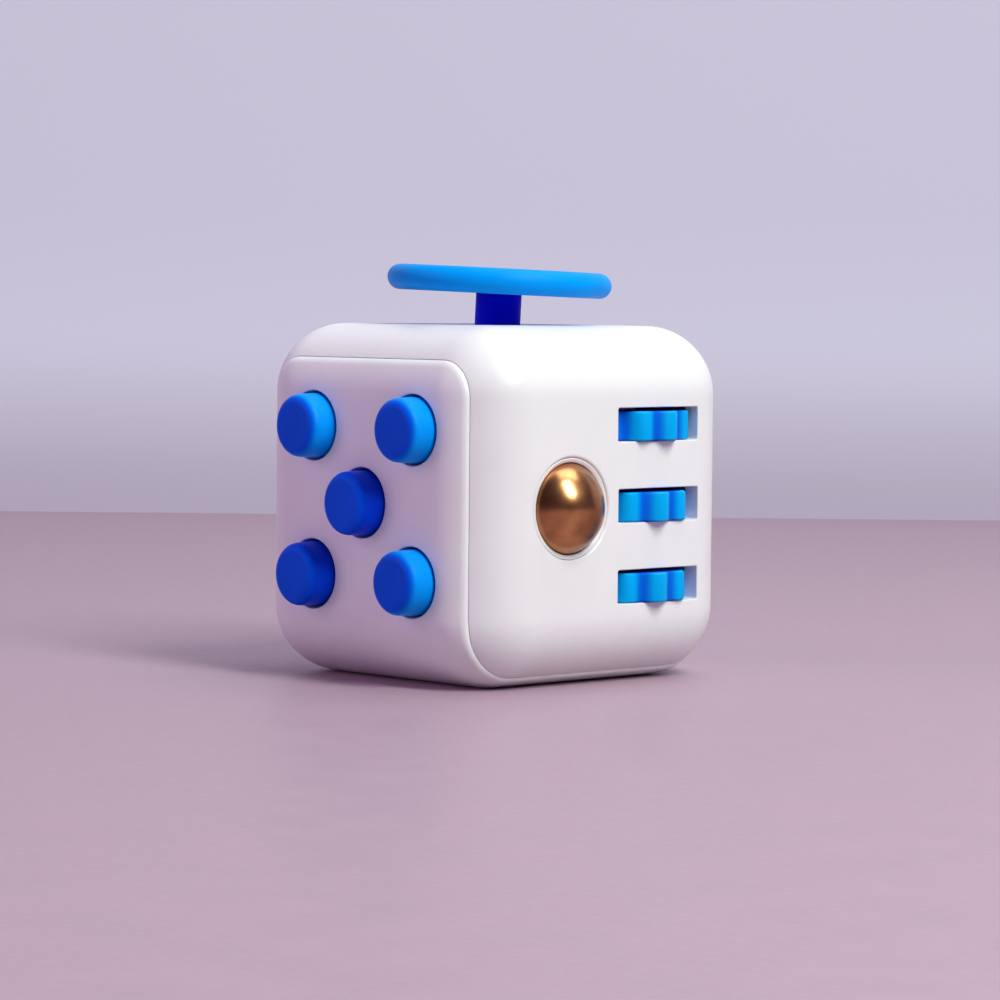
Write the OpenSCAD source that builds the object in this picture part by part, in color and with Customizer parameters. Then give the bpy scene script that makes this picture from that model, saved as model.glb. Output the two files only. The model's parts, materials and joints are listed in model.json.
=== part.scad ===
// Fidget cube: a two-shell plastic cube with a fidget control on each face.
// +Z is up. The origin is the centre of the bottom face, which the cube rests on.
// -Y: five push buttons. +X: clicking ball and three thumb wheels. +Z: joystick.
// -X: rocker switch. +Y: spinning dial. -Z: thumb dimple.

/* [Cube] */
// Edge length of the cube
cube_size = 33; // [32.6:0.1:33.6]
// Radius of the large outer rounding
edge_r = 6.5; // [6:0.1:6.8]
// Wall thickness of the side shell
wall = 1.7; // [1.6:0.05:1.8]
// How far the base shell's faces stand proud of the side shell
panel_step = 0.15; // [0.1:0.05:0.25]
// Half the width of the base shell band
seam_half = 13.35; // [13.2:0.05:13.5]
// Corner radius of the band's upper edge
seam_corner_r = 3.35; // [3.15:0.05:3.55]

/* [Buttons] */
// Distance of the outer buttons from the face centre, each way
button_pitch = 6.9; // [6.8:0.05:7]
// Button radius where it leaves the face
button_r = 3; // [2.9:0.05:3.1]
// How far a button stands out
button_proud = 2.4; // [2:0.1:2.8]
// Gap round a button in its hole
button_gap = 0.25; // [0.2:0.05:0.3]

/* [Ball] */
// Ball radius
ball_r = 4.5; // [4.4:0.05:4.5]
// How far the ball centre lies off the face centre line
ball_offset = 5.7; // [5.6:0.05:5.8]

/* [Thumb wheels] */
// Tip radius of a thumb wheel
wheel_r = 6.5; // [6.3:0.05:6.5]
// Thickness of a thumb wheel
wheel_t = 2.7; // [2.5:0.05:2.75]
// Distance between wheels
wheel_pitch = 7.45; // [7.4:0.05:7.6]
// Number of teeth on a wheel
wheel_teeth = 11; // [11:1:14]

/* [Joystick] */
// Radius of the joystick disc
disc_r = 10.6; // [9.5:0.1:10.8]
// Thickness of the joystick disc
disc_t = 2.4; // [2:0.1:2.6]
// Radius of the stem
stem_r = 2.16; // [2:0.02:2.2]
// Lean of the relaxed stick towards +X, in degrees
lean_x = 1.6; // [0:0.1:2]
// Lean of the relaxed stick towards +Y, in degrees
lean_y = 1.7; // [0:0.1:2]

/* [Rocker and dial] */
// Half the height of the rocker
rocker_half = 6.9; // [6.5:0.1:7]
// Tilt of the rocker at each end of its travel, in degrees
rocker_tilt = 8; // [6:0.5:8]
// Radius of the dial
dial_r = 7.6; // [7:0.1:8]

/* [Hidden] */

round_fn = 96;
base_skin_fn = 32;
side_skin_fn = 40;
eps = 0.05;
far = 60;

// Shells
half = cube_size / 2;
mid = cube_size / 2;
edge_c = half - edge_r;
cavity_r = edge_r - wall;
inner = half - wall;
seam_top = mid + seam_half;
seam_gap = 0.08;
inset = 1;

// Worry-stone hollow and the pad of plastic above it
dimple_r = 14;
dimple_reach = 3.5;
dimple_depth = 1.5;
dimple_pad_r = 10.6;
dimple_pad_t = 3.3;

// Snap hooks between the two shells
hook_y = 9.2;
hook_half = 1.2;
hook_in = 12;
hook_out = 13.05;
hook_top = 7;
barb_t = 1.2;
barb_reach = inner - 0.6;
ledge_in = 13.3;
ledge_t = 1.2;
ledge_gap = 0.15;

// Small fixings
screw_hole_r = 0.65;
screw_head_r = 1.35;
screw_head_t = 0.8;
screw_core_r = 0.5;
boss_r = 1.5;

// Buttons, measured outward from the cube's centre along -Y
face_out = half + panel_step;
panel_in = inner;
button_hole_r = button_r + button_gap;
button_mid = mid + 0.12;
button_draft = 0.08;
button_fillet = 0.9;
flange_r = 3.65;
flange_t = 0.7;
flange_gap = 0.08;
screw_tip = 0.3;
plate_front = 12.3;
plate_t = 0.9;
boss_pos = 11.2;
button_spots = [[-1, 1], [1, 1], [0, 0], [-1, -1], [1, -1]];

// Ball, measured outward from the cube's centre along +X
ball_open_r = 4.18;
ball_open_gap = 0.054;
ball_open_x = half - 0.33;
ball_cap_r = ball_open_r - ball_open_gap;
ball_x = ball_open_x - sqrt(ball_r * ball_r - ball_cap_r * ball_cap_r);
ball_relief = 0.1;
bezel_press = 0.03;
bezel_t = 1.2;
bezel_face = 0.1;
bore_r = 4.65;
well_r = 5.4;
well_end = 7.4;
carrier_back = 9;
carrier_front = 12.2;
cap_t = 1;
cap_screw_off = 6.3;
cap_screw_len = 4.5;
cap_hole_len = 4;

// Thumb wheels
wheel_x = half + 1.1 - wheel_r;
slot_y0 = 0.25;
slot_y1 = 10.7;
wheel_y = (slot_y0 + slot_y1) / 2;
slot_h = wheel_t + 0.4;
slot_rise = 0.15;
wheel_drop = 0.1;
wheel_room = 0.35;
tooth_depth = 0.7;
axle_r = 1;
axle_bore_r = 1.08;
rib_t = 1.5;
rib_gap = 0.4;
rib_half = 2.1;
rib_neck = 1.6;
wheel_mid = mid - wheel_drop;
wheel_levels = [wheel_mid + wheel_pitch, wheel_mid, wheel_mid - wheel_pitch];
rib_top_z = wheel_levels[0] + wheel_t / 2 + rib_gap;
rib_bottom_z = wheel_levels[2] - wheel_t / 2 - rib_gap - rib_t;
axle_top = rib_top_z + rib_t - 0.4;
axle_tip = 0.9;
groove_low = 0.5;
groove_high = 0.1;
groove_depth = 0.25;
clip_air = 0.03;
clip_reach = 0.9;
spacer_air = 0.05;
spacer_wall = 0.7;
spacer_fit = 0.03;

// Joystick
pivot_z = cube_size - 4.4;
disc_z = cube_size + 4.05;
disc_socket = 1.2;
stem_hole_r = 3.6;
dish_floor_r = 3.9;
dish_r = 8;
dish_depth = 0.6;
ring_out = 4.1;
ring_in = 2.95;
ring_h = 2.4;
cup_in = 4.5;
cup_out = 5.5;
cup_floor_z = 21.6;
cup_floor_t = 1;
gimbal_pin_r = 0.6;
pin_short = 0.15;
ear_root = cup_in + 0.5;
gimbal_screw_end = 2;
foot_z = 25.9;
foot_r = 2.9;
foot_t = 0.7;
ear_pos = 8.4;
ear_z = 27.7;
ear_t = 1.2;
ear_neck = 1.2;
ear_screw_end = 1.8;
spring_air = 0.3;
spring_out = 2.6;
spring_in = 2;
ear_angles = [90, 210, 330];

// Rocker, measured outward from the cube's centre along -X
pivot_x = 13.3;
rocker_w = 8.2;
rocker_open_w = 8.6;
rocker_open_h = 2 * rocker_half + 1.1;
rocker_pin_r = 0.75;
post_half = 1.6;
post_len = 3.4;
detent_r = 0.8;
detent_reach = 3.9;
track_r = 3.95;
cheek_in = 4.5;
cheek_t = 1.2;
frame_back = 8;
flip_boss_y = 7.3;
flip_boss_in = 13.6;
flip_ear_t = 1;
flip_screw_end = 0.7;
flip_tip_end = 0.8;
rocker_back = 0.6;
rocker_rise = 1.2;
rocker_hub_r = 1.9;
post_root = 0.8;
post_floor = 1.15;
detent_bore_r = detent_r + 0.1;
detent_seat = 1.2;
detent_coil_out = 0.75;
detent_coil_in = 0.45;
track_wall = 0.4;
cheek_room = 0.3;

// Dial, measured outward from the cube's centre along +Y
dial_gap = 0.2;
dial_t = 2.2;
hub_r = 3;
hub_hole_r = 3.1;
hub_end = 14.5;
retainer_r = 4.6;
retainer_t = 0.8;
dial_rim = 0.8;
hollow_r = 3.2;
hollow_x = 4;
hollow_depth = 1.1;
washer_r = 5.5;
washer_bore_r = hub_hole_r + 0.1;
dial_screw_len = 3.2;
dial_hole_len = 3.5;

// A box given by its low and high corners
module box(low, high) {
  translate(low) cube(high - low);
}

// A cylinder along +X from x0 to x1
module rod_x(x0, x1, r, y = 0, z = 0) {
  translate([x0, y, z]) rotate([0, 90, 0]) cylinder(h = x1 - x0, r = r, $fn = round_fn);
}

// A cylinder along +Y from y0 to y1
module rod_y(y0, y1, r, x = 0, z = 0) {
  translate([x, y0, z]) rotate([-90, 0, 0]) cylinder(h = y1 - y0, r = r, $fn = round_fn);
}

// A cylinder along +Z from z0 to z1
module rod_z(z0, z1, r, x = 0, y = 0) {
  translate([x, y, z0]) cylinder(h = z1 - z0, r = r, $fn = round_fn);
}

// A turned body: the profile's second coordinate points out along the named face's normal
module turn() {
  rotate_extrude($fn = round_fn) children();
}
module out_front() {
  translate([0, 0, mid]) rotate([90, 0, 0]) children();
}
module out_back() {
  translate([0, 0, mid]) rotate([-90, 0, 0]) children();
}
module out_right() {
  translate([0, 0, mid]) rotate([0, 90, 0]) children();
}
module out_left() {
  translate([0, 0, mid]) rotate([0, -90, 0]) children();
}

// Points of an arc from angle a0 to a1 about c
function arc(c, r, a0, a1, n) =
  [for (i = [0:n]) let (a = a0 + (a1 - a0) * i / n) [c[0] + r * cos(a), c[1] + r * sin(a)]];

// Rounded cube with corner centres fixed, so that all skins are parallel
module rounded_skin(r, facets) {
  low = panel_step + edge_r;
  high = cube_size - edge_r;
  hull() {
    for (x = [-edge_c, edge_c], y = [-edge_c, edge_c], z = [low, high]) {
      translate([x, y, z]) sphere(r = r, $fn = facets);
    }
  }
}

// The outline that splits the two shells: a band with round upper corners, run along Y
module seam_band(grow) {
  w = seam_half + grow;
  top = seam_top + grow;
  r = seam_corner_r + grow;
  outline = concat(
    [[-w, -inset], [w, -inset]],
    arc([w - r, top - r], r, 0, 90, 12),
    arc([-w + r, top - r], r, 90, 180, 12)
  );
  translate([0, far / 2, 0]) rotate([90, 0, 0]) linear_extrude(far) polygon(outline);
}

// The worry-stone hollow in the bottom: an oval dish
module thumb_dimple() {
  hull() {
    for (x = [-dimple_reach, dimple_reach]) {
      translate([x, 0, dimple_depth - dimple_r]) sphere(r = dimple_r, $fn = 64);
    }
  }
}

// Repeats its children, drawn on the +X side, on both sides
module both_sides() {
  children();
  mirror([1, 0, 0]) children();
}

// Snap hooks that rise from the floor of the base shell
module snap_hooks() {
  both_sides() for (y = [-hook_y, hook_y]) {
    box([hook_in, y - hook_half, inset], [hook_out, y + hook_half, hook_top]);
    box([hook_in, y - hook_half, hook_top - barb_t], [barb_reach, y + hook_half, hook_top]);
  }
}

// Ledges on the side shell that the hooks catch
module catch_ledges() {
  top = hook_top - barb_t - ledge_gap;
  both_sides() for (y = [-hook_y, hook_y]) {
    box([ledge_in, y - hook_half, top - ledge_t], [half - inset, y + hook_half, top]);
  }
}

// White shell half with the button face, the bottom and the dial face
module base_shell() {
  color("white") difference() {
    union() {
      difference() {
        intersection() {
          rounded_skin(edge_r + panel_step, base_skin_fn);
          seam_band(0);
        }
        rounded_skin(cavity_r, base_skin_fn);
      }
      rod_z(inset, dimple_pad_t, dimple_pad_r);
      snap_hooks();
      for (x = [-boss_pos, boss_pos], z = [mid - boss_pos, mid + boss_pos]) {
        rod_y(-panel_in - inset, -plate_front, boss_r, x, z);
      }
    }
    thumb_dimple();
    for (s = button_spots) {
      at_spot(s) rod_y(-far / 2, -panel_in + inset, button_hole_r, 0, mid);
    }
    for (x = [-boss_pos, boss_pos], z = [mid - boss_pos, mid + boss_pos]) {
      rod_y(-panel_in - screw_tip, -plate_front + inset, screw_core_r, x, z);
    }
    rod_y(panel_in - inset, far / 2, hub_hole_r, 0, mid);
  }
}

// White shell half with the ball and wheel face, the joystick face and the rocker face
module side_shell() {
  color("white") difference() {
    union() {
      difference() {
        rounded_skin(edge_r, side_skin_fn);
        rounded_skin(cavity_r, side_skin_fn);
        seam_band(seam_gap);
      }
      catch_ledges();
      rod_x(well_end, half - inset, well_r, -ball_offset, mid);
      for (z = [mid - cap_screw_off, mid + cap_screw_off]) {
        rod_x(well_end, half - inset, boss_r, -ball_offset, z);
      }
      for (z = [rib_bottom_z, rib_top_z]) {
        axle_rib(z);
      }
      for (a = ear_angles) {
        rotate([0, 0, a]) rod_z(ear_z + ear_t, cube_size - inset, boss_r, ear_pos, 0);
      }
      for (y = [-flip_boss_y, flip_boss_y]) {
        rod_x(-half + inset, -flip_boss_in, boss_r, y, mid);
      }
    }
    rod_x(well_end - inset, far / 2, bore_r, -ball_offset, mid);
    for (z = [mid - cap_screw_off, mid + cap_screw_off]) {
      rod_x(well_end - inset, well_end + cap_hole_len, screw_core_r, -ball_offset, z);
    }
    for (z = wheel_levels) {
      wheel_slot(z);
    }
    rod_z(rib_bottom_z - inset, axle_top, axle_r, wheel_x, wheel_y);
    rod_z(cube_size - wall - inset, far, stem_hole_r);
    turn() joystick_dish();
    for (a = ear_angles) {
      rotate([0, 0, a]) rod_z(ear_z + ear_t - inset, cube_size - ear_screw_end, screw_core_r, ear_pos, 0);
    }
    box([-far / 2, -rocker_open_w / 2, mid - rocker_open_h / 2],
        [-inner + inset, rocker_open_w / 2, mid + rocker_open_h / 2]);
    for (y = [-flip_boss_y, flip_boss_y]) {
      rod_x(-half + flip_screw_end, -flip_boss_in + inset, screw_core_r, y, mid);
    }
  }
}

// Rib that carries one end of the wheel axle
module axle_rib(z) {
  rod_z(z, z + rib_t, rib_half, wheel_x, wheel_y);
  box([wheel_x, wheel_y - rib_neck, z], [half - inset, wheel_y + rib_neck, z + rib_t]);
}

// Slot in the face, with room behind it for the whole wheel
module wheel_slot(z) {
  low = z - slot_h / 2 + slot_rise;
  box([inner - inset, slot_y0, low], [far / 2, slot_y1, low + slot_h]);
  rod_z(low, low + slot_h, wheel_r + wheel_room, wheel_x, wheel_y);
}

// Shallow dish in the top face round the stem
module joystick_dish() {
  polygon([[0, cube_size - dish_depth], [dish_floor_r, cube_size - dish_depth],
           [dish_r, cube_size], [dish_r, cube_size + inset], [0, cube_size + inset]]);
}

// Moves its children from the face's centre to a button's place
module at_spot(spot) {
  translate([spot[0] * button_pitch, 0, button_mid - mid + spot[1] * button_pitch]) children();
}

// Push button: tapered cap with a round front edge, and a retaining flange behind the face
module click_button(spot) {
  fillet = button_fillet;
  tip_r = button_r - button_draft;
  front = face_out + button_proud;
  profile = concat(
    [[0, panel_in - flange_t], [flange_r, panel_in - flange_t],
     [flange_r, panel_in - flange_gap], [button_r, panel_in - flange_gap], [button_r, face_out]],
    arc([tip_r - fillet, front - fillet], fillet, 0, 90, 10),
    [[0, front]]
  );
  color("royalblue") at_spot(spot) out_front() turn() polygon(profile);
}

// Silicone dome that pushes a button back out
module button_dome(spot) {
  top = panel_in - flange_t;
  skirt_r = 2.7;
  skirt_t = 0.6;
  foot = 0.35;
  crown_r = 1.6;
  crown_t = 0.7;
  skin = 0.4;
  profile = [
    [skirt_r - skirt_t, plate_front], [skirt_r, plate_front], [skirt_r, plate_front + foot],
    [crown_r, top], [0, top], [0, top - crown_t], [crown_r - skin, top - crown_t],
    [skirt_r - skirt_t, plate_front + foot]
  ];
  color("lightgray") at_spot(spot) out_front() turn() polygon(profile);
}

// Backing plate behind the five buttons
module click_plate() {
  plate_half = boss_pos + boss_r;
  color("gainsboro") difference() {
    box([-plate_half, -plate_front, mid - plate_half],
        [plate_half, -plate_front + plate_t, mid + plate_half]);
    for (x = [-boss_pos, boss_pos], z = [mid - boss_pos, mid + boss_pos]) {
      rod_y(-far / 2, far / 2, screw_hole_r, x, z);
    }
  }
}

// Thin metal snap discs under the three buttons that click
module click_snap_discs() {
  disc_r0 = 1.7;
  rise = 0.3;
  skin = 0.12;
  profile = [
    [0, plate_front + rise - skin], [disc_r0, plate_front], [disc_r0, plate_front + skin],
    [0, plate_front + rise]
  ];
  color("silver") for (i = [0, 2, 4]) {
    at_spot(button_spots[i]) out_front() turn() polygon(profile);
  }
}

// Pan-head screw with its head's underside at the origin and its shank along +Z
module screw(shank) {
  socket_r = 0.55;
  socket_depth = 0.45;
  difference() {
    union() {
      translate([0, 0, -screw_head_t]) cylinder(h = screw_head_t, r = screw_head_r, $fn = round_fn);
      cylinder(h = shank, r = screw_core_r, $fn = round_fn);
    }
    translate([0, 0, -screw_head_t - inset]) cylinder(h = inset + socket_depth, r = socket_r, $fn = 6);
  }
}

module click_screws() {
  color("silver") for (x = [-boss_pos, boss_pos], z = [mid - boss_pos, mid + boss_pos]) {
    translate([x, -plate_front + plate_t, z]) rotate([90, 0, 0]) screw(panel_in - plate_front + plate_t);
  }
}

// Polished steel ball
module roll_ball() {
  color("tan") translate([ball_x, -ball_offset, mid]) sphere(r = ball_r, $fn = round_fn);
}

// Ring that keeps the ball in, pressed into the mouth of the well
module ball_bezel() {
  bezel_out = bore_r - bezel_press;
  back = half - bezel_t;
  relief = ball_r + ball_relief;
  profile = [
    [sqrt(relief * relief - (back - ball_x) * (back - ball_x)), back], [bezel_out, back],
    [bezel_out, half - bezel_face], [ball_open_r, ball_open_x]
  ];
  color("white") translate([0, -ball_offset, 0]) out_right() turn() polygon(profile);
}

// Cup that carries the ball and slides inward when the ball is pressed
module ball_carrier() {
  color("gainsboro") difference() {
    rod_x(carrier_back, carrier_front, ball_r, -ball_offset, mid);
    translate([ball_x, -ball_offset, mid]) sphere(r = ball_r + eps, $fn = round_fn);
  }
}

// Silicone dome behind the carrier
module ball_click_dome() {
  skirt_r = 3.2;
  skirt_t = 0.8;
  foot = 0.4;
  crown_r = 2;
  crown_t = 0.6;
  skin = 0.5;
  profile = [
    [skirt_r - skirt_t, well_end], [skirt_r, well_end], [skirt_r, well_end + foot],
    [crown_r, carrier_back], [0, carrier_back], [0, carrier_back - crown_t],
    [crown_r - skin, carrier_back - crown_t], [skirt_r - skirt_t, well_end + foot]
  ];
  color("lightgray") translate([0, -ball_offset, 0]) out_right() turn() polygon(profile);
}

// Rear stop of the ball well
module ball_well_cap() {
  color("gainsboro") difference() {
    union() {
      rod_x(well_end - cap_t, well_end, well_r, -ball_offset, mid);
      for (z = [mid - cap_screw_off, mid + cap_screw_off]) {
        rod_x(well_end - cap_t, well_end, boss_r, -ball_offset, z);
      }
    }
    for (z = [mid - cap_screw_off, mid + cap_screw_off]) {
      rod_x(0, half, screw_hole_r, -ball_offset, z);
    }
  }
}

module ball_cap_screws() {
  color("silver") for (z = [mid - cap_screw_off, mid + cap_screw_off]) {
    translate([well_end - cap_t, -ball_offset, z]) rotate([0, 90, 0]) screw(cap_screw_len);
  }
}

// Toothed thumb wheel: a wavy rim, turned so that each wheel sits at its own phase
module thumb_wheel(z, phase) {
  steps = wheel_teeth * 12;
  rim = [for (i = [0:steps - 1])
    let (a = 360 * i / steps, r = wheel_r - tooth_depth * (1 - cos(wheel_teeth * a)) / 2)
    [r * cos(a), r * sin(a)]];
  color("deepskyblue") translate([wheel_x, wheel_y, z - wheel_t / 2]) difference() {
    rotate([0, 0, phase]) linear_extrude(wheel_t) polygon(rim);
    translate([0, 0, -inset]) cylinder(h = wheel_t + 2 * inset, r = axle_bore_r, $fn = round_fn);
  }
}

module thumb_wheel_top() { thumb_wheel(wheel_levels[0], 9); }
module thumb_wheel_middle() { thumb_wheel(wheel_levels[1], -2.7); }
module thumb_wheel_bottom() { thumb_wheel(wheel_levels[2], -3.9); }

// Steel axle shared by the three wheels, with a groove for its clip
module wheel_axle() {
  color("silver") difference() {
    rod_z(rib_bottom_z - axle_tip, axle_top, axle_r, wheel_x, wheel_y);
    difference() {
      rod_z(rib_bottom_z - groove_low, rib_bottom_z - groove_high, axle_r + inset, wheel_x, wheel_y);
      rod_z(rib_bottom_z - inset, rib_bottom_z, axle_r - groove_depth, wheel_x, wheel_y);
    }
  }
}

// Sleeves between the wheels and thin washers at the ends
module wheel_spacers() {
  air = spacer_air;
  spans = [
    [rib_bottom_z + rib_t + air, wheel_levels[2] - wheel_t / 2 - air],
    [wheel_levels[2] + wheel_t / 2 + air, wheel_levels[1] - wheel_t / 2 - air],
    [wheel_levels[1] + wheel_t / 2 + air, wheel_levels[0] - wheel_t / 2 - air],
    [wheel_levels[0] + wheel_t / 2 + air, rib_top_z - air]
  ];
  color("silver") for (s = spans) {
    difference() {
      rod_z(s[0], s[1], axle_r + spacer_wall, wheel_x, wheel_y);
      rod_z(s[0] - inset, s[1] + inset, axle_r + spacer_fit, wheel_x, wheel_y);
    }
  }
}

// Open spring clip in the axle's groove
module axle_clip() {
  mouth_half = 0.6;
  color("dimgray") difference() {
    rod_z(rib_bottom_z - groove_low + clip_air, rib_bottom_z - groove_high - clip_air,
          axle_r + clip_reach, wheel_x, wheel_y);
    rod_z(rib_bottom_z - inset, rib_bottom_z, axle_r - groove_depth + eps, wheel_x, wheel_y);
    box([wheel_x - 3 * axle_r, wheel_y - mouth_half, rib_bottom_z - inset],
        [wheel_x, wheel_y + mouth_half, rib_bottom_z]);
  }
}

// The ring leans with the outer axis, the stick with both
module ring_lean() {
  translate([0, 0, pivot_z]) rotate([-lean_y, 0, 0]) children();
}
module stick_lean() {
  ring_lean() rotate([0, lean_x, 0]) children();
}

// Joystick disc: full-round rim and a shallow dish for the fingertip
module joystick_cap() {
  z0 = disc_z - pivot_z - disc_t / 2;
  rim = disc_t / 2;
  dish_start = 2.6;
  dish_bend = 5;
  start_drop = 0.02;
  bend_drop = 0.3;
  mid_drop = 0.55;
  profile = concat(
    [[0, z0 + disc_socket], [stem_r, z0 + disc_socket], [stem_r, z0]],
    arc([disc_r - rim, z0 + rim], rim, -90, 90, 14),
    [[disc_r - dish_start, z0 + disc_t - start_drop], [disc_r - dish_bend, z0 + disc_t - bend_drop],
     [0, z0 + disc_t - mid_drop]]
  );
  color("dodgerblue") stick_lean() turn() polygon(profile);
}

// Stem with a foot that the centring spring pushes against
module joystick_stem() {
  color("mediumblue") stick_lean() difference() {
    union() {
      rod_z(foot_z - pivot_z, disc_z - pivot_z - disc_t / 2 + disc_socket, stem_r);
      rod_z(foot_z - pivot_z, foot_z - pivot_z + foot_t, foot_r);
    }
    rod_y(-ring_out, ring_out, gimbal_pin_r);
  }
}

module stem_pin() {
  color("silver") stick_lean() rod_y(-ring_out + pin_short, ring_out - pin_short, gimbal_pin_r);
}

// Ring between the housing and the stem
module gimbal_ring() {
  color("gainsboro") ring_lean() difference() {
    rod_z(-ring_h / 2, ring_h / 2, ring_out);
    rod_z(-ring_h, ring_h, ring_in);
    rod_x(-cup_out, cup_out, gimbal_pin_r);
    rod_y(-cup_out, cup_out, gimbal_pin_r + eps);
  }
}

// Two stub pins that hang the ring in the housing
module gimbal_pins() {
  color("silver") ring_lean() both_sides() rod_x(ring_in + pin_short, cup_out - pin_short, gimbal_pin_r);
}

// Cup under the top face that holds the ring and the centring spring
module gimbal_housing() {
  color("gainsboro") difference() {
    union() {
      rod_z(cup_floor_z, cube_size - wall - eps, cup_out);
      for (a = ear_angles) {
        rotate([0, 0, a]) {
          rod_z(ear_z, ear_z + ear_t, boss_r, ear_pos, 0);
          box([ear_root, -ear_neck, ear_z], [ear_pos, ear_neck, ear_z + ear_t]);
        }
      }
    }
    rod_z(cup_floor_z + cup_floor_t, cube_size, cup_in);
    rod_x(-cup_out - inset, cup_out + inset, gimbal_pin_r + eps, 0, pivot_z);
    for (a = ear_angles) {
      rotate([0, 0, a]) rod_z(ear_z - inset, ear_z + ear_t + inset, screw_hole_r, ear_pos, 0);
    }
  }
}

module gimbal_screws() {
  color("silver") for (a = ear_angles) {
    rotate([0, 0, a]) translate([ear_pos, 0, ear_z]) screw(cube_size - gimbal_screw_end - ear_z);
  }
}

// Envelope of the centring spring between the stem's foot and the housing floor
module joystick_spring() {
  color("silver") difference() {
    rod_z(cup_floor_z + cup_floor_t, foot_z - spring_air, spring_out);
    rod_z(cup_floor_z, foot_z + inset, spring_in);
  }
}

// Rocker frame of reference: first coordinate outward along -X, second upward, width along Y
module rocker_lean(tilt) {
  translate([-pivot_x, 0, mid]) rotate([0, tilt, 0]) mirror([1, 0, 0]) children();
}
module across_y(width) {
  translate([0, width / 2, 0]) rotate([90, 0, 0]) linear_extrude(width) children();
}

// Rocker: a shallow hollow face, a pin bore and a post that carries the detent
module flip_rocker() {
  face = half - pivot_x;
  rise = rocker_rise;
  steps = 16;
  outer = [for (i = [0:steps])
    let (w = rocker_half - 2 * rocker_half * i / steps)
    [face + rise * w * w / (rocker_half * rocker_half), w]];
  outline = concat([[rocker_back, -rocker_half], [face + rise, -rocker_half]],
                   [for (i = [steps:-1:0]) outer[i]], [[rocker_back, rocker_half]]);
  color("royalblue") rocker_lean(rocker_tilt) difference() {
    union() {
      across_y(rocker_w) polygon(outline);
      across_y(rocker_w) circle(r = rocker_hub_r, $fn = round_fn);
      box([-post_len, -post_half, -post_half], [post_root, post_half, post_half]);
    }
    rod_y(-rocker_w, rocker_w, rocker_pin_r + eps);
    rod_x(-post_len - inset, -post_floor, detent_bore_r);
  }
}

module flip_pivot_pin() {
  color("silver") rod_y(-cheek_in - cheek_t, cheek_in + cheek_t, rocker_pin_r, -pivot_x, mid);
}

// Frame behind the rocker: two cheeks for the pin and a curved track for the detent ball
module flip_frame() {
  cheek_h = 4.5;
  outer = cheek_in + cheek_t;
  ear_h = 1.8;
  ear_lap = 0.2;
  color("gainsboro") difference() {
    union() {
      for (turned = [0, 180]) translate([-pivot_x, 0, mid]) rotate([turned, 0, 0]) {
        box([pivot_x - inner + eps, cheek_in, -cheek_h], [pivot_x - frame_back, outer, cheek_h]);
        box([pivot_x - flip_boss_in, outer - ear_lap, -ear_h],
            [pivot_x - flip_boss_in + flip_ear_t, flip_boss_y + boss_r, ear_h]);
      }
      box([-pivot_x + track_r - track_wall, -outer, mid - cheek_h], [-frame_back, outer, mid + cheek_h]);
    }
    rod_y(-cheek_in + cheek_room, cheek_in - cheek_room, track_r, -pivot_x, mid);
    rod_y(-far / 2, far / 2, rocker_pin_r, -pivot_x, mid);
    for (y = [-flip_boss_y, flip_boss_y]) {
      rod_x(-half, 0, screw_hole_r, y, mid);
    }
  }
}

module flip_frame_screws() {
  color("silver") for (y = [-flip_boss_y, flip_boss_y]) {
    translate([-flip_boss_in + flip_ear_t, y, mid]) rotate([0, -90, 0])
      screw(half - flip_tip_end - flip_boss_in + flip_ear_t);
  }
}

// Steel ball and coil spring inside the rocker's post
module flip_detent_ball() {
  color("silver") rocker_lean(rocker_tilt)
    translate([-detent_reach + detent_r, 0, 0]) sphere(r = detent_r, $fn = round_fn);
}

module flip_detent_spring() {
  color("silver") rocker_lean(rocker_tilt) difference() {
    rod_x(-detent_reach + 2 * detent_r, -detent_seat, detent_coil_out);
    rod_x(-post_len, -inset, detent_coil_in);
  }
}

// Spinning dial with a rounded rim and an off-centre finger hollow
module spin_dial() {
  back = face_out + dial_gap;
  front = back + dial_t;
  rim = dial_rim;
  profile = concat(
    [[0, hub_end], [hub_r, hub_end], [hub_r, back], [dial_r, back]],
    arc([dial_r - rim, front - rim], rim, 0, 90, 10),
    [[0, front]]
  );
  color("royalblue") difference() {
    out_back() turn() polygon(profile);
    translate([hollow_x, front + hollow_r - hollow_depth, mid]) sphere(r = hollow_r, $fn = round_fn);
    rod_y(hub_end - inset, hub_end + dial_hole_len, screw_core_r, 0, mid);
  }
}

module spin_washer() {
  color("ivory") difference() {
    rod_y(face_out, face_out + dial_gap - eps, washer_r, 0, mid);
    rod_y(face_out - inset, face_out + inset, washer_bore_r, 0, mid);
  }
}

module spin_retainer() {
  color("silver") difference() {
    rod_y(hub_end - retainer_t, hub_end, retainer_r, 0, mid);
    rod_y(hub_end - 2 * retainer_t, hub_end + inset, screw_hole_r, 0, mid);
  }
}

module spin_screw() {
  color("silver") translate([0, hub_end - retainer_t, mid]) rotate([-90, 0, 0])
    screw(retainer_t + dial_screw_len);
}

base_shell();
side_shell();
click_button(button_spots[0]);  // click_button_1
click_button(button_spots[1]);  // click_button_2
click_button(button_spots[2]);  // click_button_3
click_button(button_spots[3]);  // click_button_4
click_button(button_spots[4]);  // click_button_5
button_dome(button_spots[0]);  // button_dome_1
button_dome(button_spots[1]);  // button_dome_2
button_dome(button_spots[2]);  // button_dome_3
button_dome(button_spots[3]);  // button_dome_4
button_dome(button_spots[4]);  // button_dome_5
click_plate();
click_snap_discs();
click_screws();
roll_ball();
ball_bezel();
ball_carrier();
ball_click_dome();
ball_well_cap();
ball_cap_screws();
thumb_wheel_top();
thumb_wheel_middle();
thumb_wheel_bottom();
wheel_axle();
wheel_spacers();
axle_clip();
joystick_cap();
joystick_stem();
stem_pin();
gimbal_ring();
gimbal_pins();
gimbal_housing();
gimbal_screws();
joystick_spring();
flip_rocker();
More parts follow.
